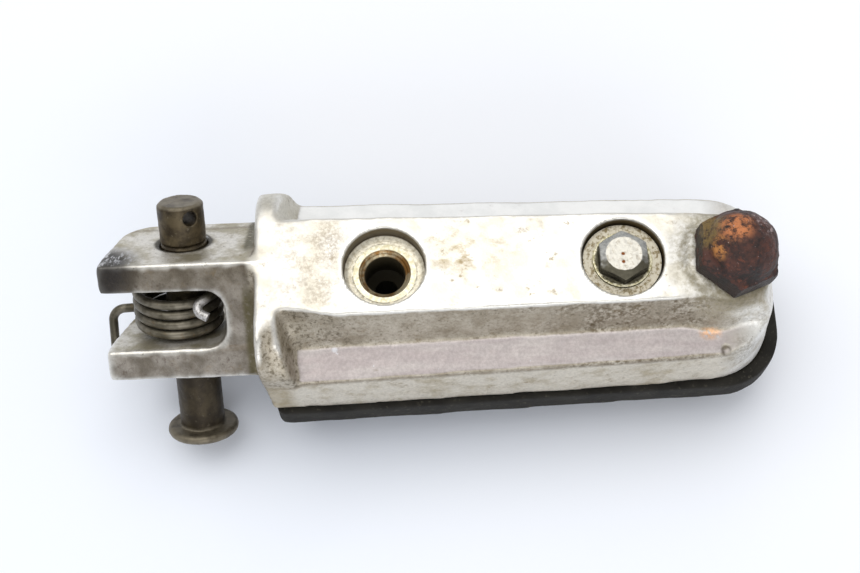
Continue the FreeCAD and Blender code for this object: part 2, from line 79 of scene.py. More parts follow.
# single brown marks on the casting, each with its radius
BROWN_MARKS = (
    ((9.9, -7.5, WORN_DECK), 0.9),
    ((-1.3, -6.5, WORN_DECK), 0.7),
    ((6.6, -5.1, WORN_DECK), 1.1),
    ((4.5, 7.0, WORN_DECK), 1.2),
    ((-12.5, 2.6, WORN_DECK), 1.3),
    ((36.3, 7.7, WORN_DECK), 1.1),
    ((-50.1, 1.2, WORN_DECK), 0.8),
    ((-50.3, -8.1, WORN_DECK), 0.6),
    ((-27.8, -18.8, 33.8), 0.45),
)
CLOUDY_STAIN = (-9, 3, 46)
PALE_CHIP = (-36.2, -14.5, 35.5)
# a painted glint of light on the ledge near the tip
ORANGE_GLINT = (43.5, -13.6, 35.1)
SCUFFED_CORNER = (50.5, -15.5, 31)
BURNT_CORNER = fork_point(-17.4, 12, 10)

# the dent in the near wall, a darker ring round it and the spot inside that the ring leaves clear
DENT = (46.6, -16.9, 34)
DENT_RING = (46.6, -16.9, 33)
DENT_MIDDLE = (47.0, -17.2, 33)

# patches on the rusted feeler; the orange patch and the gold streak are partly painted highlight
OLIVE_PATCH = (41.8, 2.4, 52.6)
ORANGE_RUST_HIGHLIGHT = (46.8, 1.4, 57.0)
GOLD_GLINT_STREAK = (43.4, -2.6, 54.6)
SALT_PATCH = (52.5, 2.5, 54)

BOLT_RUST_DOTS = ((24.76, -0.1, 47.7), (24.7, -1.9, 47.7))
SPRING_HOOK = fork_point(4.2, 1.3, 12.1)


# ---------------------------------------------------------------- camera and light

CAMERA_TARGET = Vector((-15.55, -5.16, 46)) * MM
CAMERA_DISTANCE = 293.6 * MM
CAMERA_ELEVATION = math.radians(67.0)
CAMERA_ROLL = math.radians(2.16)
CAMERA_LENS = 59.3


def add_camera():
    """The camera looks down at the peg from the near side, a little rolled."""
    back = Vector((0, -math.cos(CAMERA_ELEVATION), math.sin(CAMERA_ELEVATION)))
    level = Vector((1, 0, 0))
    upright = back.cross(level)
    right = level * math.cos(CAMERA_ROLL) - upright * math.sin(CAMERA_ROLL)
    up = level * math.sin(CAMERA_ROLL) + upright * math.cos(CAMERA_ROLL)
    data = bpy.data.cameras.new("camera")
    data.lens = CAMERA_LENS
    camera = bpy.data.objects.new("camera", data)
    bpy.context.scene.collection.objects.link(camera)
    place = CAMERA_TARGET + back * CAMERA_DISTANCE
    turn = Matrix((right, up, back)).transposed().to_4x4()
    camera.matrix_world = Matrix.Translation(place) @ turn
    bpy.context.scene.camera = camera


def add_light(name, place, size, power, colour):
    """A rectangular light that faces the peg."""
    target = Vector((0, 0, 0.02))
    data = bpy.data.lights.new(name, "AREA")
    data.shape = "RECTANGLE"
    data.size, data.size_y = size
    data.energy = power
    data.color = colour
    light = bpy.data.objects.new(name, data)
    light.location = place
    light.rotation_euler = (target - Vector(place)).to_track_quat("-Z", "Y").to_euler()
    bpy.context.scene.collection.objects.link(light)


def add_floor():
    """A wide white surface, a hair below the tread that rests on it."""
    half = 3.0
    below = -0.02 * MM
    mesh = bpy.data.meshes.new("floor")
    corners = [(-half, -half, below), (half, -half, below), (half, half, below), (-half, half, below)]
    mesh.from_pydata(corners, [], [(0, 1, 2, 3)])
    floor = bpy.data.objects.new("floor", mesh)
    bpy.context.scene.collection.objects.link(floor)
    return floor


def light_scene():
    """A pale room with soft light from above and a weaker one from the near side."""
    world = bpy.data.worlds.new("world")
    world.use_nodes = True
    sky = world.node_tree.nodes["Background"]
    sky.inputs["Color"].default_value = (0.965, 0.97, 0.975, 1)
    sky.inputs["Strength"].default_value = 0.64
    bpy.context.scene.world = world
    add_light("overhead", place=(-0.25, 0.35, 1.5), size=(1.9, 1.2), power=14, colour=(1.0, 0.985, 0.95))
    add_light("near_fill", place=(0.2, -1.2, 0.7), size=(1.2, 0.6), power=5, colour=(0.97, 0.98, 1.0))
    bpy.context.scene.view_settings.view_transform = "Standard"


add_camera()
light_scene()
floor = add_floor()


# ---------------------------------------------------------------- shader graphs

def rgb(red, green, blue):
    """A display colour, 0 to 255, as the linear colour that shaders use."""
    def linear(value):
        share = value / 255
        return share / 12.92 if share <= 0.04045 else ((share + 0.055) / 1.055) ** 2.4
    return (linear(red), linear(green), linear(blue), 1)


def grey(level):
    """A plain number in the form that a colour mix takes."""
    return (level, level, level, 1)


class Graph:
    """A material whose nodes work in millimetres of the row frame."""

    def __init__(self, name):
        self.material = bpy.data.materials.new(name)
        self.material.use_nodes = True
        self.tree = self.material.node_tree
        self.shader = self.tree.nodes["Principled BSDF"]
        coordinates = self.add("ShaderNodeTexCoord")
        facing = self.add("ShaderNodeSeparateXYZ")
        self.link(coordinates.outputs["Normal"], facing.inputs[0])
        _, self.facing_y, self.facing_z = facing.outputs
        scale = self.add("ShaderNodeVectorMath", operation="SCALE")
        scale.inputs["Scale"].default_value = 1 / MM
        self.link(coordinates.outputs["Object"], scale.inputs[0])
        self.place = scale.outputs[0]
        split = self.add("ShaderNodeSeparateXYZ")
        self.link(self.place, split.inputs[0])
        self.x, self.y, self.z = split.outputs
        self.normal = None

    def add(self, kind, **settings):
        node = self.tree.nodes.new(kind)
        for name, value in settings.items():
            setattr(node, name, value)
        return node

    def link(self, source, target):
        """Connects a socket, or sets a plain number or colour."""
        if isinstance(source, bpy.types.NodeSocket):
            self.tree.links.new(source, target)
        else:
            target.default_value = source

    # arithmetic

    def math(self, operation, first, second=0.0):
        node = self.add("ShaderNodeMath", operation=operation)
        self.link(first, node.inputs[0])
        self.link(second, node.inputs[1])
        return node.outputs[0]

    def product(self, *factors):
        result = factors[0]
        for factor in factors[1:]:
            result = self.math("MULTIPLY", result, factor)
        return result

    # patterns

    def noise(self, scale, detail=4, roughness=0.55, stretch=None, seed=0):
        node = self.add("ShaderNodeTexNoise", noise_dimensions="4D")
        node.inputs["Scale"].default_value = scale
        node.inputs["Detail"].default_value = detail
        node.inputs["Roughness"].default_value = roughness
        node.inputs["W"].default_value = seed
        self.link(self.stretched(stretch), node.inputs["Vector"])
        return node.outputs["Fac"]

    def stretched(self, factors):
        if factors is None:
            return self.place
        node = self.add("ShaderNodeVectorMath", operation="MULTIPLY")
        self.link(self.place, node.inputs[0])
        node.inputs[1].default_value = factors
        return node.outputs[0]

    def spots(self, scale, cover, seed, soft=0.03):
        """Irregular spots; cover from 0 to 1 says how much they hide."""
        level = 0.72 - 0.3 * cover
        pattern = self.noise(scale, detail=5, roughness=0.6, seed=seed)
        return self.band(pattern, level - soft, level + soft)

    def stored(self, name):
        """A value that the mesh carries at its vertices."""
        return self.add("ShaderNodeAttribute", attribute_name=name).outputs["Fac"]

    # places

    def distance(self, centre, flatten=(1, 1, 1)):
        """Millimetres from a point; flatten (1, 1, 0) gives the distance from an upright axis."""
        offset = self.add("ShaderNodeVectorMath", operation="SUBTRACT")
        self.link(self.place, offset.inputs[0])
        offset.inputs[1].default_value = centre
        scaled = self.add("ShaderNodeVectorMath", operation="MULTIPLY")
        self.link(offset.outputs[0], scaled.inputs[0])
        scaled.inputs[1].default_value = flatten
        return self.length(scaled.outputs[0])

    def length(self, vector):
        node = self.add("ShaderNodeVectorMath", operation="LENGTH")
        self.link(vector, node.inputs[0])
        return node.outputs["Value"]

    def near(self, centre, outer, inner, flatten=(1, 1, 1)):
        """0 beyond the outer distance from a point and 1 within the inner one."""
        return self.band(self.distance(centre, flatten), outer, inner)

    def reach(self, direction, origin):
        """Millimetres past a point, measured along a direction."""
        node = self.add("ShaderNodeVectorMath", operation="DOT_PRODUCT")
        self.link(self.place, node.inputs[0])
        node.inputs[1].default_value = direction
        return self.math("SUBTRACT", node.outputs["Value"], origin.dot(direction))

    # masks, from 0 to 1

    def band(self, value, low, high):
        """0 below low, 1 above high, smooth between; low above high falls."""
        node = self.add("ShaderNodeMapRange", interpolation_type="SMOOTHSTEP")
        self.link(value, node.inputs["Value"])
        node.inputs["From Min"].default_value = low
        node.inputs["From Max"].default_value = high
        return node.outputs["Result"]

    def most(self, *masks):
        """The largest of the masks at each place."""
        result = masks[0]
        for mask in masks[1:]:
            result = self.math("MAXIMUM", result, mask)
        return result

    def off(self, mask, share=1.0):
        """1 where a mask is 0, and less by the share where it is 1."""
        return self.math("SUBTRACT", 1.0, self.product(mask, share))

    # colours

    def mix(self, share, low, high):
        node = self.add("ShaderNodeMix", data_type="RGBA")
        self.link(share, node.inputs["Factor"])
        self.link(low, node.inputs["A"])
        self.link(high, node.inputs["B"])
        return node.outputs["Result"]

    def paint(self, colour, tone, *masks):
        """Lays a tone over a colour where all the masks agree; a plain number thins it."""
        return self.mix(self.product(*masks), colour, tone)

    def bump(self, height, depth):
        """Adds relief of a depth in millimetres on top of the relief so far."""
        node = self.add("ShaderNodeBump")
        node.inputs["Strength"].default_value = 1.0
        node.inputs["Distance"].default_value = depth * MM
        self.link(height, node.inputs["Height"])
        if self.normal is not None:
            self.link(self.normal, node.inputs["Normal"])
        self.normal = node.outputs["Normal"]

    def finish(self, colour, roughness, metallic=0.0, specular=0.5):
        self.link(colour, self.shader.inputs["Base Color"])
        self.link(roughness, self.shader.inputs["Roughness"])
        self.link(metallic, self.shader.inputs["Metallic"])
        self.shader.inputs["Specular IOR Level"].default_value = specular
        if self.normal is not None:
            self.link(self.normal, self.shader.inputs["Normal"])
        return self.material


# ---------------------------------------------------------------- mesh tools

def applied(piece):
    """Replaces a piece's mesh with what its modifiers make of it."""
    bpy.context.view_layer.update()
    evaluated = piece.evaluated_get(bpy.context.evaluated_depsgraph_get())
    mesh = bpy.data.meshes.new_from_object(evaluated)
    piece.modifiers.clear()
    piece.data = mesh
    return piece


def cad_copy(node, name):
    """A new piece that starts as the shape of a CAD node."""
    piece = bpy.data.objects.new(name, frame["nodes"][node].data.copy())
    bpy.context.scene.collection.objects.link(piece)
    return piece


def remesh(piece, voxel):
    modifier = piece.modifiers.new("remesh", "REMESH")
    modifier.mode = "VOXEL"
    modifier.voxel_size = voxel * MM
    modifier.use_smooth_shade = True
    return applied(piece)


def points_of(piece):
    """Vertex places in millimetres."""
    places = np.empty(len(piece.data.vertices) * 3)
    piece.data.vertices.foreach_get("co", places)
    return places.reshape(-1, 3) / MM


def normals_of(piece):
    normals = np.empty(len(piece.data.vertices) * 3)
    piece.data.vertices.foreach_get("normal", normals)
    return normals.reshape(-1, 3)


def set_points(piece, places):
    piece.data.vertices.foreach_set("co", (places * MM).ravel())
    piece.data.update()


def relax(piece, rounds, weights=None):
    """Smooths a mesh; weights from 0 to 1 say how much each vertex may move."""
    levels = 10
    modifier = piece.modifiers.new("relax", "SMOOTH")
    modifier.factor = 0.5
    modifier.iterations = rounds
    if weights is not None:
        group = piece.vertex_groups.new(name="relax")
        for level in range(1, levels + 1):
            members = np.flatnonzero(np.round(weights * levels) == level)
            group.add(members.tolist(), level / levels, "REPLACE")
        modifier.vertex_group = group.name
    applied(piece)
    piece.vertex_groups.clear()


def rise(value, low, high):
    """0 below low and 1 above high; low above high falls instead."""
    return np.clip((value - low) / (high - low), 0, 1)


def eased(share):
    """A share from 0 to 1 with soft ends."""
    return share ** 2 * (3 - 2 * share)


def mark_edges(piece, rounds):
    """Stores how far each vertex stands out of its smoothed surroundings, in millimetres."""
    copy = bpy.data.objects.new("smoothed", piece.data.copy())
    bpy.context.scene.collection.objects.link(copy)
    relax(copy, rounds)
    standing = ((points_of(piece) - points_of(copy)) * normals_of(piece)).sum(axis=1)
    bpy.data.objects.remove(copy)
    piece.data.attributes.new("standing", "FLOAT", "POINT").data.foreach_set("value", standing)


def roughen(piece, size, depth, seed, weights=1.0):
    """Lowers the surface unevenly by up to a depth; size is that of the hollows, all in millimetres."""
    places = points_of(piece)
    shift = Vector((seed * 17.0, seed * 5.0, 0))
    hollows = np.array([noise.noise(Vector(place) / size + shift) for place in places])
    depths = depth * np.clip(0.5 - hollows, 0, 1) * weights
    set_points(piece, places - normals_of(piece) * depths[:, None])


def dent(piece, centre, radius, depth):
    """Presses a round hollow into the surface near a point."""
    places = points_of(piece)
    near = 1 - rise(np.linalg.norm(places - centre, axis=1), 0, radius)
    set_points(piece, places - normals_of(piece) * (depth * eased(near))[:, None])


def stand_in(piece, node, body, material):
    """Puts a piece in a CAD node's place."""
    piece.data.materials.clear()
    piece.data.materials.append(material)
    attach(piece, body)
    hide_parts(node)


def coat(node, material):
    """Gives a CAD node its material."""
    frame["nodes"][node].data.materials.clear()
    frame["nodes"][node].data.materials.append(material)


# ---------------------------------------------------------------- the casting's material

class CastGraph(Graph):
    """The casting's material, with the noises, zones and dirt that its layers share."""

    def __init__(self):
        super().__init__("cast_aluminium")
        self.cloud = self.noise(0.16, detail=6, roughness=0.62, seed=1)
        self.fine = self.noise(1.1, detail=6, roughness=0.65, seed=2)
        self.blotch = self.noise(0.2, detail=9, roughness=0.72, stretch=(0.8, 1, 1), seed=3)
        self.grain = self.noise(1.5, detail=7, roughness=0.75, seed=36)
        self.standing = self.stored("standing")
        self.from_feeler = self.distance(FEELER_SEAT)
        self.add_zones()
        self.add_dirt()

    def add_zones(self):
        self.deck = self.band(self.z, WORN_DECK - 0.9, WORN_DECK)
        self.lip = self.band(self.z, LIP_TOP, LIP_TOP - 0.5)
        below_wall = self.band(self.z, WALL_FOOT + 1.5, WALL_FOOT + 0.4)
        self.ledge = self.product(self.band(self.facing_z, 0.72, 0.9), below_wall, self.band(self.x, 53, 44))
        self.fork = self.band(self.x, CASTING_END - 0.2, CASTING_END - 1.8)
        self.tip = self.product(self.band(self.x, 44, 54), self.band(self.z, 44, 41))
        self.far_side = self.band(self.y, 9, 11)
        self.outer_side = self.band(self.facing_y, 0.2, 0.5)
        # painted highlight: patches of the far ledge, which faces the light, are to be painted pale
        self.far_ledge_highlight = self.product(self.far_side, self.ledge, self.band(self.blotch, 0.18, 0.42))
        self.pin_mouth = self.near(PIN_MOUTH, 7.2, 6.2)
        self.burnt = self.product(self.near(BURNT_CORNER, 11.5, 5), self.band(self.blotch, 0.16, 0.4))

    def add_dirt(self):
        """Stains, specks and the grime in hollows; little of it lies on the ledge and the deck."""
        open_metal = self.product(self.off(self.ledge, 0.85), self.off(self.deck, 0.55))
        stains = self.spots(0.3, 0.34, seed=5, soft=0.1)
        specks = self.spots(1.5, 0.24, seed=6, soft=0.03)
        self.stain = self.product(stains, self.band(self.fine, 0.4, 0.66), open_metal)
        self.speck = self.product(specks, self.band(self.cloud, 0.42, 0.56), open_metal)
        self.hollow = self.band(self.standing, -0.05, -0.25)


def wall_colour(graph):
    """Grimy walls: specks at the inner end, thick grime at the outer one, and a painted highlight making
    them pale on the far side, which faces the light.
    """
    colour = graph.mix(graph.band(graph.blotch, 0.34, 0.64), rgb(154, 144, 126), rgb(192, 184, 169))
    colour = graph.paint(colour, rgb(104, 92, 70), graph.band(graph.grain, 0.5, 0.32), 0.4)
    inner_end = graph.band(graph.x, -22, -42)
    colour = graph.paint(colour, rgb(88, 78, 56), inner_end, graph.band(graph.fine, 0.5, 0.38), 0.7)
    outer_end = graph.product(graph.band(graph.x, 4, 16), graph.band(graph.x, 47, 40))
    grime = graph.product(graph.band(graph.blotch, 0.4, 0.56), graph.band(graph.fine, 0.4, 0.6))
    colour = graph.paint(colour, rgb(100, 86, 62), outer_end, grime, 0.85)
    dots = graph.product(graph.spots(0.9, 0.36, seed=40, soft=0.04), graph.band(graph.cloud, 0.4, 0.52))
    colour = graph.paint(colour, rgb(84, 72, 50), dots, 0.55)
    # painted highlight: the far side faces the light above, so its walls are painted pale
    return graph.paint(colour, rgb(206, 202, 190), graph.far_side)


def fork_colour(graph):
    """Dull grey ears with rusty dots, and a painted highlight making them pale on the outer sides that face
    the light.
    """
    face = graph.mix(graph.band(graph.cloud, 0.38, 0.62), rgb(88, 80, 68), rgb(120, 113, 102))
    low_face = graph.mix(graph.band(graph.cloud, 0.38, 0.62), rgb(106, 99, 89), rgb(144, 138, 130))
    side = graph.mix(graph.band(graph.cloud, 0.4, 0.6), rgb(176, 168, 146), rgb(226, 222, 214))
    colour = graph.mix(graph.band(graph.y, 2, -8), face, low_face)
    # painted highlight: the sides that face the light are painted pale
    colour = graph.mix(graph.outer_side, colour, side)
    rust_dots = graph.spots(1.1, 0.34, seed=39, soft=0.07)
    return graph.paint(colour, rgb(74, 58, 48), rust_dots, graph.off(graph.outer_side), 0.5)


def bare_colour(graph):
    """Each zone of the casting without what lies on it."""
    rubbing = graph.noise(0.5, detail=7, roughness=0.65, stretch=(0.14, 1, 1), seed=38)
    lip = graph.mix(graph.band(graph.blotch, 0.34, 0.54), rgb(180, 169, 146), rgb(212, 205, 191))
    tip = graph.mix(graph.band(graph.blotch, 0.36, 0.56), rgb(192, 185, 170), rgb(236, 235, 231))
    ledge = graph.mix(graph.band(rubbing, 0.32, 0.68), rgb(193, 182, 181), rgb(208, 200, 197))
    deck = graph.mix(graph.band(graph.cloud, 0.4, 0.6), rgb(226, 221, 208), rgb(240, 238, 233))
    colour = graph.mix(graph.lip, wall_colour(graph), lip)
    colour = graph.mix(graph.tip, colour, tip)
    colour = graph.mix(graph.ledge, colour, ledge)
    colour = graph.mix(graph.deck, colour, deck)
    return graph.mix(graph.fork, colour, fork_colour(graph))


def with_stains(graph, colour):
    """Brown stains, cloudy beside the empty hole, and single marks."""
    colour = graph.paint(colour, rgb(132, 114, 84), graph.stain, 0.6)
    smear = graph.noise(0.4, detail=9, roughness=0.66, stretch=(0.7, 1, 1), seed=34)
    cloudy = graph.product(graph.near(CLOUDY_STAIN, 7.5, 2, flatten=(0.45, 1, 1)),
                           graph.band(smear, 0.44, 0.62))
    colour = graph.paint(colour, rgb(166, 148, 110), graph.deck, cloudy, 0.8)
    spatter = graph.product(graph.band(smear, 0.6, 0.66), graph.band(graph.cloud, 0.4, 0.5))
    colour = graph.paint(colour, rgb(146, 128, 92), graph.deck, spatter, 0.75)
    colour = graph.paint(colour, rgb(92, 76, 54), graph.speck, 0.7)
    marks = 0.0
    for place, radius in BROWN_MARKS:
        ragged = graph.product(graph.math("SUBTRACT", graph.fine, 0.5), 4 * radius)
        edge = graph.math("ADD", graph.distance(place, (0.6, 1, 1)), ragged)
        marks = graph.most(marks, graph.band(edge, radius, -0.5 * radius))
    return graph.paint(colour, rgb(126, 106, 70), marks, graph.band(graph.grain, 0.36, 0.6))


def with_marks(graph, colour):
    """Scuffs, grimy seams, chips, an orange painted glint and the dent on the near side."""
    inner_end = graph.product(graph.deck, graph.band(graph.x, -28, -36), graph.band(graph.x, -53, -43))
    scuffed = graph.product(graph.band(graph.blotch, 0.34, 0.58), graph.band(graph.grain, 0.34, 0.6))
    colour = graph.paint(colour, rgb(158, 146, 128), inner_end, scuffed, 0.8)

    # a grimy line where the ledge meets the lip, brown on the collar's foot
    seam = graph.product(graph.band(graph.z, LIP_TOP - 1.1, LIP_TOP - 0.5),
                         graph.band(graph.z, LIP_TOP + 0.4, LIP_TOP), graph.band(graph.x, 46, 40))
    colour = graph.paint(colour, rgb(126, 114, 98), seam, graph.band(graph.fine, 0.34, 0.5), 0.5)
    collar_foot = graph.product(graph.band(graph.x, RECESS_END + 2, RECESS_END - 2),
                                graph.band(graph.z, WALL_FOOT, WALL_FOOT - 5), graph.off(graph.fork))
    colour = graph.paint(colour, rgb(150, 134, 98), collar_foot, graph.band(graph.blotch, 0.3, 0.6), 0.85)

    # pale chips on the ledge and an orange painted glint near its end
    chips = graph.product(graph.ledge, graph.spots(0.7, 0.1, seed=37, soft=0.02))
    chips = graph.most(chips, graph.near(PALE_CHIP, 0.7, 0.3, flatten=(0.8, 1, 1)))
    colour = graph.paint(colour, rgb(226, 226, 230), chips, 0.8)
    painted_glint = graph.product(graph.near(ORANGE_GLINT, 2.0, 0.4, flatten=(0.6, 1, 1)),
                          graph.band(graph.fine, 0.42, 0.52))
    colour = graph.paint(colour, rgb(240, 188, 142), painted_glint, 0.8)

    # a darker ring round the dent
    off_dent = graph.band(graph.distance(DENT_MIDDLE), 0.5, 1.1)
    dent_rim = graph.product(graph.near(DENT_RING, 1.7, 1.0), off_dent)
    colour = graph.paint(colour, rgb(92, 82, 64), dent_rim, graph.band(graph.fine, 0.3, 0.5), 0.75)
    scuffs = graph.product(graph.near(SCUFFED_CORNER, 6.5, 2.5), graph.band(graph.grain, 0.42, 0.56))
    return graph.paint(colour, rgb(120, 112, 96), scuffs, 0.6)


def with_grime(graph, colour):
    """Grime round the feeler's boss and along the fork's neck, and the far ear's burnt corner."""
    boss = graph.product(graph.band(graph.from_feeler, 15, 10.5), graph.band(graph.fine, 0.38, 0.66))
    colour = graph.paint(colour, rgb(148, 138, 108), boss, 0.65)
    boss_foot = graph.product(graph.band(graph.from_feeler, 12, 10), graph.band(graph.blotch, 0.36, 0.56))
    colour = graph.paint(colour, rgb(112, 102, 72), boss_foot, 0.75)
    neck = graph.product(graph.band(graph.x, CASTING_END - 3.2, CASTING_END - 2),
                         graph.band(graph.x, CASTING_END + 0.6, CASTING_END - 0.4))
    neck_grime = graph.product(graph.band(graph.fine, 0.24, 0.5), graph.band(graph.z, 44, 40))
    colour = graph.paint(colour, rgb(80, 74, 46), neck, neck_grime, 0.85)

    colour = graph.paint(colour, rgb(36, 33, 33), graph.burnt, 0.95)
    scratches = graph.noise(1.2, detail=6, roughness=0.7, stretch=(1, 0.35, 0.35), seed=8)
    scratched = graph.product(graph.burnt, graph.outer_side, graph.band(scratches, 0.5, 0.6))
    return graph.paint(colour, rgb(196, 196, 198), scratched, 0.85)


def worn_and_highlit_edges(graph):
    """Where rubbing and a painted highlight brighten the edges of the fork's front and the deck's rim, but
    for the pin's mouth.
    """
    fork_front = graph.product(graph.fork, graph.band(graph.reach(FORK_NORMAL, PIN_CENTRE / MM), 0, 4))
    deck_rim = graph.product(graph.band(graph.z, 41, 43), graph.band(graph.from_feeler, 14, 16))
    edges = graph.product(graph.band(graph.standing, 0.01, 0.12), graph.band(graph.fine, 0.25, 0.45))
    dark = graph.most(graph.pin_mouth, graph.product(graph.burnt, 0.85))
    return graph.product(edges, graph.most(fork_front, deck_rim), graph.off(dark))


def counterbore(graph, hole):
    """1 on the walls and floor of a counterbore."""
    inside = graph.near(hole, COUNTERBORE_RADIUS + 0.6, COUNTERBORE_RADIUS + 0.2, flatten=(1, 1, 0))
    below_rim = graph.band(graph.z, WORN_DECK - 0.2, WORN_DECK - 0.7)
    above_floor = graph.band(graph.z, COUNTERBORE_FLOOR - 3.9, COUNTERBORE_FLOOR - 1.9)
    return graph.product(inside, below_rim, above_floor)


def cast_material():
    """Worn cast aluminium: bright deck, grimy walls, a dull grey fork."""
    graph = CastGraph()
    colour = bare_colour(graph)
    colour = with_stains(graph, colour)
    colour = with_marks(graph, colour)
    colour = with_grime(graph, colour)

    # dirt gathers in hollows, and edges are rubbed bright and carry a painted highlight
    colour = graph.paint(colour, rgb(104, 92, 64), graph.hollow, graph.band(graph.fine, 0.3, 0.7), 0.8)
    lighter_edges = worn_and_highlit_edges(graph)
    colour = graph.paint(colour, rgb(226, 224, 218), lighter_edges, 0.85)
    # painted shade: a dark line round the pin where it comes out of the ear
    pin_mouth_shade = graph.product(graph.pin_mouth, graph.band(graph.standing, 0.0, 0.1))
    colour = graph.paint(colour, rgb(66, 60, 46), pin_mouth_shade)

    # the counterbores' walls and seats, the walls painted dark as painted shade that deepens towards the
    # floor
    inside = graph.most(counterbore(graph, EMPTY_HOLE), counterbore(graph, BOLT_HOLE))
    up_wall = graph.band(graph.z, COUNTERBORE_FLOOR + 0.3, COUNTERBORE_FLOOR + 3.5)
    wall = graph.mix(up_wall, rgb(56, 45, 28), rgb(100, 85, 54))
    seat = graph.mix(graph.band(graph.fine, 0.38, 0.56), rgb(190, 181, 158), rgb(226, 220, 202))
    colour = graph.mix(inside, colour, graph.mix(graph.band(graph.facing_z, 0.4, 0.8), wall, seat))
    sunken_wall = graph.product(inside, graph.band(graph.facing_z, 0.8, 0.4))

    # a fine speckle all over, and the far ledge, which faces the light, painted pale in patches as a painted
    # highlight
    speckle = graph.math("SUBTRACT", 0.16, graph.product(graph.deck, 0.1))
    colour = graph.paint(colour, rgb(70, 62, 48), graph.band(graph.grain, 0.58, 0.42), speckle)
    pale = graph.mix(graph.band(graph.cloud, 0.36, 0.6), rgb(236, 239, 240), rgb(248, 250, 251))
    colour = graph.paint(colour, pale, graph.far_ledge_highlight, 0.85)

    uneven = graph.off(graph.ledge, 0.7)
    graph.bump(graph.product(graph.noise(0.6, detail=6, roughness=0.6, seed=9), uneven), depth=0.12)
    graph.bump(graph.product(graph.noise(3.2, detail=5, roughness=0.65, seed=10), uneven), depth=0.035)
    roughness = graph.mix(graph.most(graph.stain, graph.hollow), grey(0.42), grey(0.75))
    roughness = graph.mix(lighter_edges, roughness, grey(0.28))
    near_feeler = graph.band(graph.from_feeler, 16, 12)
    dull = graph.most(graph.speck, graph.hollow, graph.far_ledge_highlight, sunken_wall, near_feeler)
    metallic = graph.mix(dull, grey(0.7), grey(0.1))
    return graph.finish(colour, roughness, metallic=metallic)


# ---------------------------------------------------------------- the other materials

def floor_material():
    """A white surface with a faint unevenness of tone."""
    graph = Graph("floor")
    tone = graph.noise(0.004, detail=2)
    colour = graph.mix(graph.band(tone, 0.35, 0.65), rgb(236, 241, 251), rgb(242, 245, 252))
    return graph.finish(colour, 0.7)


def rubber_material():
    """Matt dark rubber with a little dust."""
    graph = Graph("tread_rubber")
    tone = graph.noise(0.2, detail=6, seed=2)
    colour = graph.mix(graph.band(tone, 0.35, 0.65), rgb(24, 22, 18), rgb(37, 35, 30))
    colour = graph.paint(colour, rgb(110, 106, 92), graph.spots(1.2, 0.25, seed=12, soft=0.08), 0.35)
    graph.bump(graph.noise(0.5, detail=4, seed=13), depth=0.2)
    graph.bump(graph.noise(4, detail=4, seed=14), depth=0.04)
    return graph.finish(colour, 0.75, specular=0.25)


def boss_material():
    """Zinc plated collar: cream top, rusty chamfer, threaded bore painted dark as painted shade that deepens
    downwards.
    """
    graph = Graph("plated_steel")
    # the two collars stand equally far from the middle, so one radius serves both
    across = graph.add("ShaderNodeCombineXYZ")
    graph.link(graph.math("SUBTRACT", graph.math("ABSOLUTE", graph.x), BOLT_HOLE[0]), across.inputs[0])
    graph.link(graph.y, across.inputs[1])
    radius = graph.length(across.outputs[0])
    bore_radius = 4.3
    mouth_radius = 5.55
    in_bore = graph.band(radius, bore_radius + 0.15, bore_radius)

    fine = graph.noise(1.4, detail=6, seed=15)
    face = graph.mix(graph.band(fine, 0.34, 0.66), rgb(192, 184, 152), rgb(226, 222, 204))
    patches = graph.noise(0.22, detail=6, roughness=0.65, seed=41)
    chamfer = graph.mix(graph.band(patches, 0.42, 0.58), rgb(146, 106, 56), rgb(204, 194, 164))
    # painted shade: the bore darkens deeper down
    bore = graph.mix(graph.band(graph.z, 35.6, 41.5), rgb(50, 46, 35), rgb(84, 76, 58))
    colour = graph.mix(graph.band(radius, mouth_radius - 0.2, mouth_radius + 0.05), chamfer, face)
    colour = graph.mix(in_bore, colour, bore)

    turning_pitch = 0.55
    rings = graph.math("SINE", graph.product(graph.z, 2 * math.pi / turning_pitch))
    on_chamfer = graph.product(graph.band(radius, mouth_radius + 0.05, mouth_radius - 0.15),
                               graph.band(radius, bore_radius - 0.1, bore_radius + 0.1))
    graph.bump(graph.product(on_chamfer, rings), depth=0.02)
    graph.bump(graph.noise(3, detail=5, seed=16), depth=0.015)
    metallic = graph.mix(in_bore, grey(0.75), grey(0.2))
    return graph.finish(colour, 0.38, metallic=metallic)


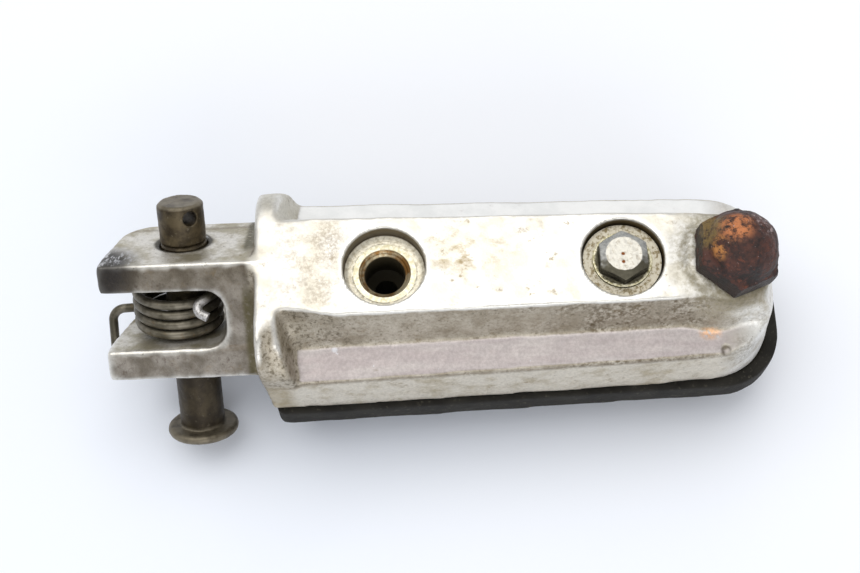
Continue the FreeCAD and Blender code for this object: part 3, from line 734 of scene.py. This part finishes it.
def bolt_material():
    """Pitted plated steel, with two rust dots, painted shade on the head's sides and near-facing chamfers,
    and a darker foot by the head.
    """
    graph = Graph("bolt_steel")
    radius = graph.distance(BOLT_HOLE, (1, 1, 0))
    fine = graph.noise(1.8, detail=6, roughness=0.65, seed=17)
    top = graph.mix(graph.spots(1.3, 0.5, seed=32, soft=0.09), rgb(202, 199, 190), rgb(170, 163, 150))
    # painted shade: the head's sides are painted near black
    side = graph.mix(graph.band(fine, 0.4, 0.6), rgb(30, 28, 22), rgb(84, 82, 74))
    chamfer = graph.mix(graph.band(fine, 0.36, 0.6), rgb(150, 151, 150), rgb(186, 186, 182))
    # painted shade: chamfers that face the near side are painted dark
    chamfer = graph.mix(graph.band(graph.facing_y, 0.05, -0.3), chamfer, rgb(92, 88, 74))
    colour = graph.mix(graph.band(graph.facing_z, 0.2, 0.5), side, chamfer)
    colour = graph.mix(graph.band(graph.facing_z, 0.93, 0.985), colour, top)

    # the flange and the washer lie lower: a bright ring, then speckled grey, darker by the head
    flange_top = 44.4
    flange_radius = 6.3
    low = graph.product(graph.band(graph.z, flange_top + 0.3, flange_top + 0.1),
                        graph.band(graph.facing_z, 0.3, 0.6))
    ring = graph.mix(graph.band(fine, 0.4, 0.6), rgb(176, 168, 128), rgb(216, 210, 186))
    speckled = graph.mix(graph.spots(1.3, 0.6, seed=18, soft=0.08), rgb(178, 172, 156), rgb(118, 106, 80))
    foot = graph.mix(graph.band(radius, flange_radius - 0.1, flange_radius + 0.2), ring, speckled)
    dark_by_head = graph.band(graph.math("ADD", radius, fine), flange_radius + 0.3, flange_radius - 0.3)
    foot = graph.paint(foot, rgb(40, 36, 24), dark_by_head, 0.9)
    colour = graph.mix(low, colour, foot)

    for dot in BOLT_RUST_DOTS:
        edge = graph.math("ADD", graph.distance(dot), graph.product(fine, 0.5))
        colour = graph.paint(colour, rgb(112, 62, 24), graph.band(edge, 0.75, 0.5))
    graph.bump(graph.noise(2.4, detail=6, roughness=0.65, seed=19), depth=0.07)
    return graph.finish(colour, 0.4, metallic=0.75)


def pin_material():
    """Brown, greasy steel with lighter ends and rubbed edges."""
    graph = Graph("pin_steel")
    cloud = graph.noise(0.3, detail=6, roughness=0.62, seed=20)
    fine = graph.noise(1.8, detail=6, seed=21)
    colour = graph.mix(graph.band(cloud, 0.36, 0.64), rgb(52, 43, 29), rgb(88, 77, 56))
    colour = graph.paint(colour, rgb(112, 104, 88), graph.spots(1.2, 0.3, seed=22), 0.6)
    colour = graph.paint(colour, rgb(34, 26, 18), graph.spots(0.9, 0.2, seed=23), 0.7)
    # along the pin from the joint's place: the free end and the head are lighter, the shaft between
    # the near ear and the head is darker
    along = graph.reach(PIN_ALONG, PIN_CENTRE / MM)
    free_end = 22.8
    near_ear = -14
    under_head = -30.55
    colour = graph.paint(colour, rgb(36, 29, 19), graph.band(along, near_ear + 1, near_ear - 2), 0.55)
    ends = graph.most(graph.band(along, free_end - 0.8, free_end - 0.3),
                      graph.band(along, under_head + 1.05, under_head + 0.05))
    colour = graph.paint(colour, rgb(120, 112, 96), ends, graph.band(cloud, 0.2, 0.6))
    lighter_edges = graph.band(graph.stored("standing"), 0.03, 0.12)
    colour = graph.paint(colour, rgb(146, 139, 124), lighter_edges, graph.band(fine, 0.35, 0.55))
    graph.bump(graph.noise(1.6, detail=6, seed=24), depth=0.06)
    return graph.finish(colour, 0.45, metallic=0.6)


def spring_material():
    """Grey wire with a brown tint; the short leg's cut end is bright."""
    graph = Graph("spring_steel")
    cloud = graph.noise(0.35, detail=6, seed=25)
    fine = graph.noise(2.2, detail=6, seed=26)
    colour = graph.mix(graph.band(cloud, 0.38, 0.62), rgb(80, 75, 62), rgb(124, 118, 105))
    colour = graph.paint(colour, rgb(98, 78, 50), graph.spots(0.6, 0.3, seed=27), 0.5)
    colour = graph.paint(colour, rgb(192, 190, 190), graph.near(SPRING_HOOK, 4.6, 2.2),
                         graph.band(fine, 0.24, 0.56))
    graph.bump(fine, depth=0.035)
    return graph.finish(colour, 0.42, metallic=0.7)


def rust_material():
    """Deep brown scale with orange, gold and olive patches and pale flecks, painted shade on the facets that
    do not face up, and a painted highlight in the orange and gold patches.
    """
    graph = Graph("rusted_steel")
    cloud = graph.noise(0.3, detail=7, roughness=0.65, seed=4)
    fine = graph.noise(1.3, detail=7, roughness=0.65, seed=28)
    mottle = graph.noise(0.75, detail=7, roughness=0.7, seed=33)
    colour = graph.mix(graph.band(cloud, 0.36, 0.62), rgb(32, 22, 20), rgb(78, 44, 34))
    colour = graph.paint(colour, rgb(118, 62, 40), graph.band(fine, 0.54, 0.68), 0.65)
    olive = graph.product(graph.near(OLIVE_PATCH, 5.2, 2.4), graph.band(fine, 0.34, 0.54))
    colour = graph.paint(colour, rgb(128, 106, 58), olive, 0.8)
    # orange rust with a painted highlight at the dome's top
    orange = graph.product(graph.near(ORANGE_RUST_HIGHLIGHT, 4.8, 1.8), graph.band(mottle, 0.4, 0.56))
    colour = graph.paint(colour, rgb(204, 128, 78), orange, 0.9)
    # a gold streak of rust, partly a painted glint
    gold = graph.product(graph.near(GOLD_GLINT_STREAK, 2.8, 1.0, flatten=(1.3, 0.8, 0.8)),
                         graph.band(mottle, 0.44, 0.56))
    colour = graph.paint(colour, rgb(190, 128, 66), gold, 0.85)
    flecks = graph.product(graph.spots(2.2, 0.14, seed=29, soft=0.02), graph.band(graph.facing_z, 0.3, 0.7))
    salt = graph.product(graph.near(SALT_PATCH, 4.5, 2), graph.band(mottle, 0.5, 0.62))
    colour = graph.paint(colour, rgb(186, 168, 168), graph.most(flecks, salt), 0.7)
    # painted shade on the facets that do not face up
    colour = graph.paint(colour, rgb(29, 24, 18), graph.band(graph.facing_z, 0.45, 0.2), 0.85)
    pits = graph.product(graph.spots(0.8, 0.4, seed=35, soft=0.04), graph.band(graph.facing_z, 0.3, 0.6))
    colour = graph.paint(colour, rgb(30, 20, 19), pits, 0.8)
    graph.bump(graph.noise(0.9, detail=7, roughness=0.65, seed=30), depth=0.35)
    graph.bump(graph.noise(3.5, detail=5, seed=31), depth=0.08)
    return graph.finish(colour, 0.55, metallic=0.1, specular=0.45)


# ---------------------------------------------------------------- pieces

def off_bolts(places):
    """0 in the counterbores and 1 a little outside them."""
    distances = [np.hypot(places[:, 0] - hole[0], places[:, 1]) for hole in (EMPTY_HOLE, BOLT_HOLE)]
    return rise(np.min(distances, axis=0), COUNTERBORE_RADIUS + 0.9, COUNTERBORE_RADIUS + 3.3)


def off_pin(places):
    """0 in the pin's bores and 1 a little outside them."""
    offset = places - np.array(PIN_CENTRE / MM)
    along = offset @ np.array(PIN_ALONG)
    from_axis = np.linalg.norm(offset - along[:, None] * np.array(PIN_ALONG), axis=1)
    return rise(from_axis, 5.6, 8)


def soft_zones(places):
    """Where the neck, the boss, the recess's foot and the ears' ends run softly into each other."""
    x = places[:, 0]
    neck = rise(np.abs(x + 52.5), 7, 3) * 0.8
    boss = rise(x, 34, 40)
    recess_foot = rise(np.abs(places[:, 2] - WALL_FOOT), 4, 2) * rise(x, -49, -47) * 0.5
    recess_end = rise(x, -40, -45) * 0.7
    ears = rise(x, -58, -60) * 0.3
    ear_ends = rise(x, EAR_TIPS, EAR_TIPS - 2.5)
    return np.max([neck, boss, recess_foot, recess_end, ears, ear_ends], axis=0)


def bow_recess_end(piece):
    """Bows the near wall's top edge in towards the deck where the recess ends at the collar."""
    places = points_of(piece)
    share = rise(places[:, 0], -34, RECESS_END) * rise(places[:, 1], -7, -10) * rise(places[:, 2], 37, 43)
    share *= rise(places[:, 0], -52, -49)
    places[:, 1] += 1.8 * eased(share)
    set_points(piece, places)


def close_gaps(piece):
    """Draws the passages' mouths in against the threaded collars, as grime has sealed them."""
    drawn_in = 0.5
    places = points_of(piece)
    heights = places[:, 2] - COUNTERBORE_FLOOR
    for hole in (EMPTY_HOLE, BOLT_HOLE):
        offset = places[:, :2] - hole[:2]
        radius = np.linalg.norm(offset, axis=1)
        mouth = (radius > PASSAGE_RADIUS - 0.85) & (radius < PASSAGE_RADIUS + 0.35)
        mouth &= (heights > -1.4) & (heights < 0.6)
        places[mouth, :2] -= offset[mouth] / radius[mouth, None] * drawn_in
    set_points(piece, places)


def make_casting():
    """The casting, with soft transitions, an uneven skin and one dent."""
    piece = remesh(cad_copy("peg_casting", "cast_body"), voxel=0.45)
    places = points_of(piece)
    around_bolts = off_bolts(places)
    free = around_bolts * off_pin(places)
    relax(piece, rounds=5, weights=np.maximum(0.2, free))
    relax(piece, rounds=45, weights=soft_zones(places) * free)
    bow_recess_end(piece)
    close_gaps(piece)
    roughen(piece, size=11, depth=0.2, seed=1, weights=free)
    roughen(piece, size=2.2, depth=0.07, seed=2, weights=around_bolts)
    dent(piece, DENT, radius=1.6, depth=0.6)
    mark_edges(piece, rounds=24)
    stand_in(piece, "peg_casting", "peg", cast_material())


def make_tread():
    """The rubber, its long edges grown wavy with age."""
    piece = remesh(cad_copy("tread_rubber", "rubber_tread"), voxel=0.55)
    relax(piece, rounds=16)
    long_edges = rise(np.abs(points_of(piece)[:, 1]), 16, 19)
    roughen(piece, size=22, depth=0.5, seed=3, weights=long_edges)
    roughen(piece, size=4, depth=0.1, seed=4)
    stand_in(piece, "tread_rubber", "peg", rubber_material())


def make_pin():
    """The pin, lightly pitted and with rubbed edges."""
    piece = remesh(cad_copy("pivot_pin", "worn_pin"), voxel=0.22)
    relax(piece, rounds=4)
    roughen(piece, size=1.6, depth=0.06, seed=5)
    mark_edges(piece, rounds=12)
    stand_in(piece, "pivot_pin", "pin", pin_material())


def make_feeler():
    """The feeler's corners and dome eaten soft by rust."""
    piece = remesh(cad_copy("bank_feeler", "rusted_feeler"), voxel=0.25)
    exposed = rise(points_of(piece)[:, 2], 44.8, 46.8)
    relax(piece, rounds=7, weights=exposed)
    roughen(piece, size=3.2, depth=0.3, seed=6, weights=exposed)
    roughen(piece, size=0.9, depth=0.12, seed=7, weights=exposed)
    stand_in(piece, "bank_feeler", "peg", rust_material())


def make_bolt(steel):
    """The pad bolt, with pits and rounded corners."""
    piece = remesh(cad_copy("pad_bolt", "pitted_bolt"), voxel=0.15)
    relax(piece, rounds=5)
    roughen(piece, size=0.8, depth=0.06, seed=8)
    stand_in(piece, "pad_bolt", "peg", steel)


floor.data.materials.append(floor_material())
make_casting()
make_tread()
make_pin()
make_feeler()
steel = bolt_material()
make_bolt(steel)
coat("bolt_washer", steel)
plated = boss_material()
for node in ("inner_boss", "outer_boss", "pad_plate"):
    coat(node, plated)
coat("return_spring", spring_material())
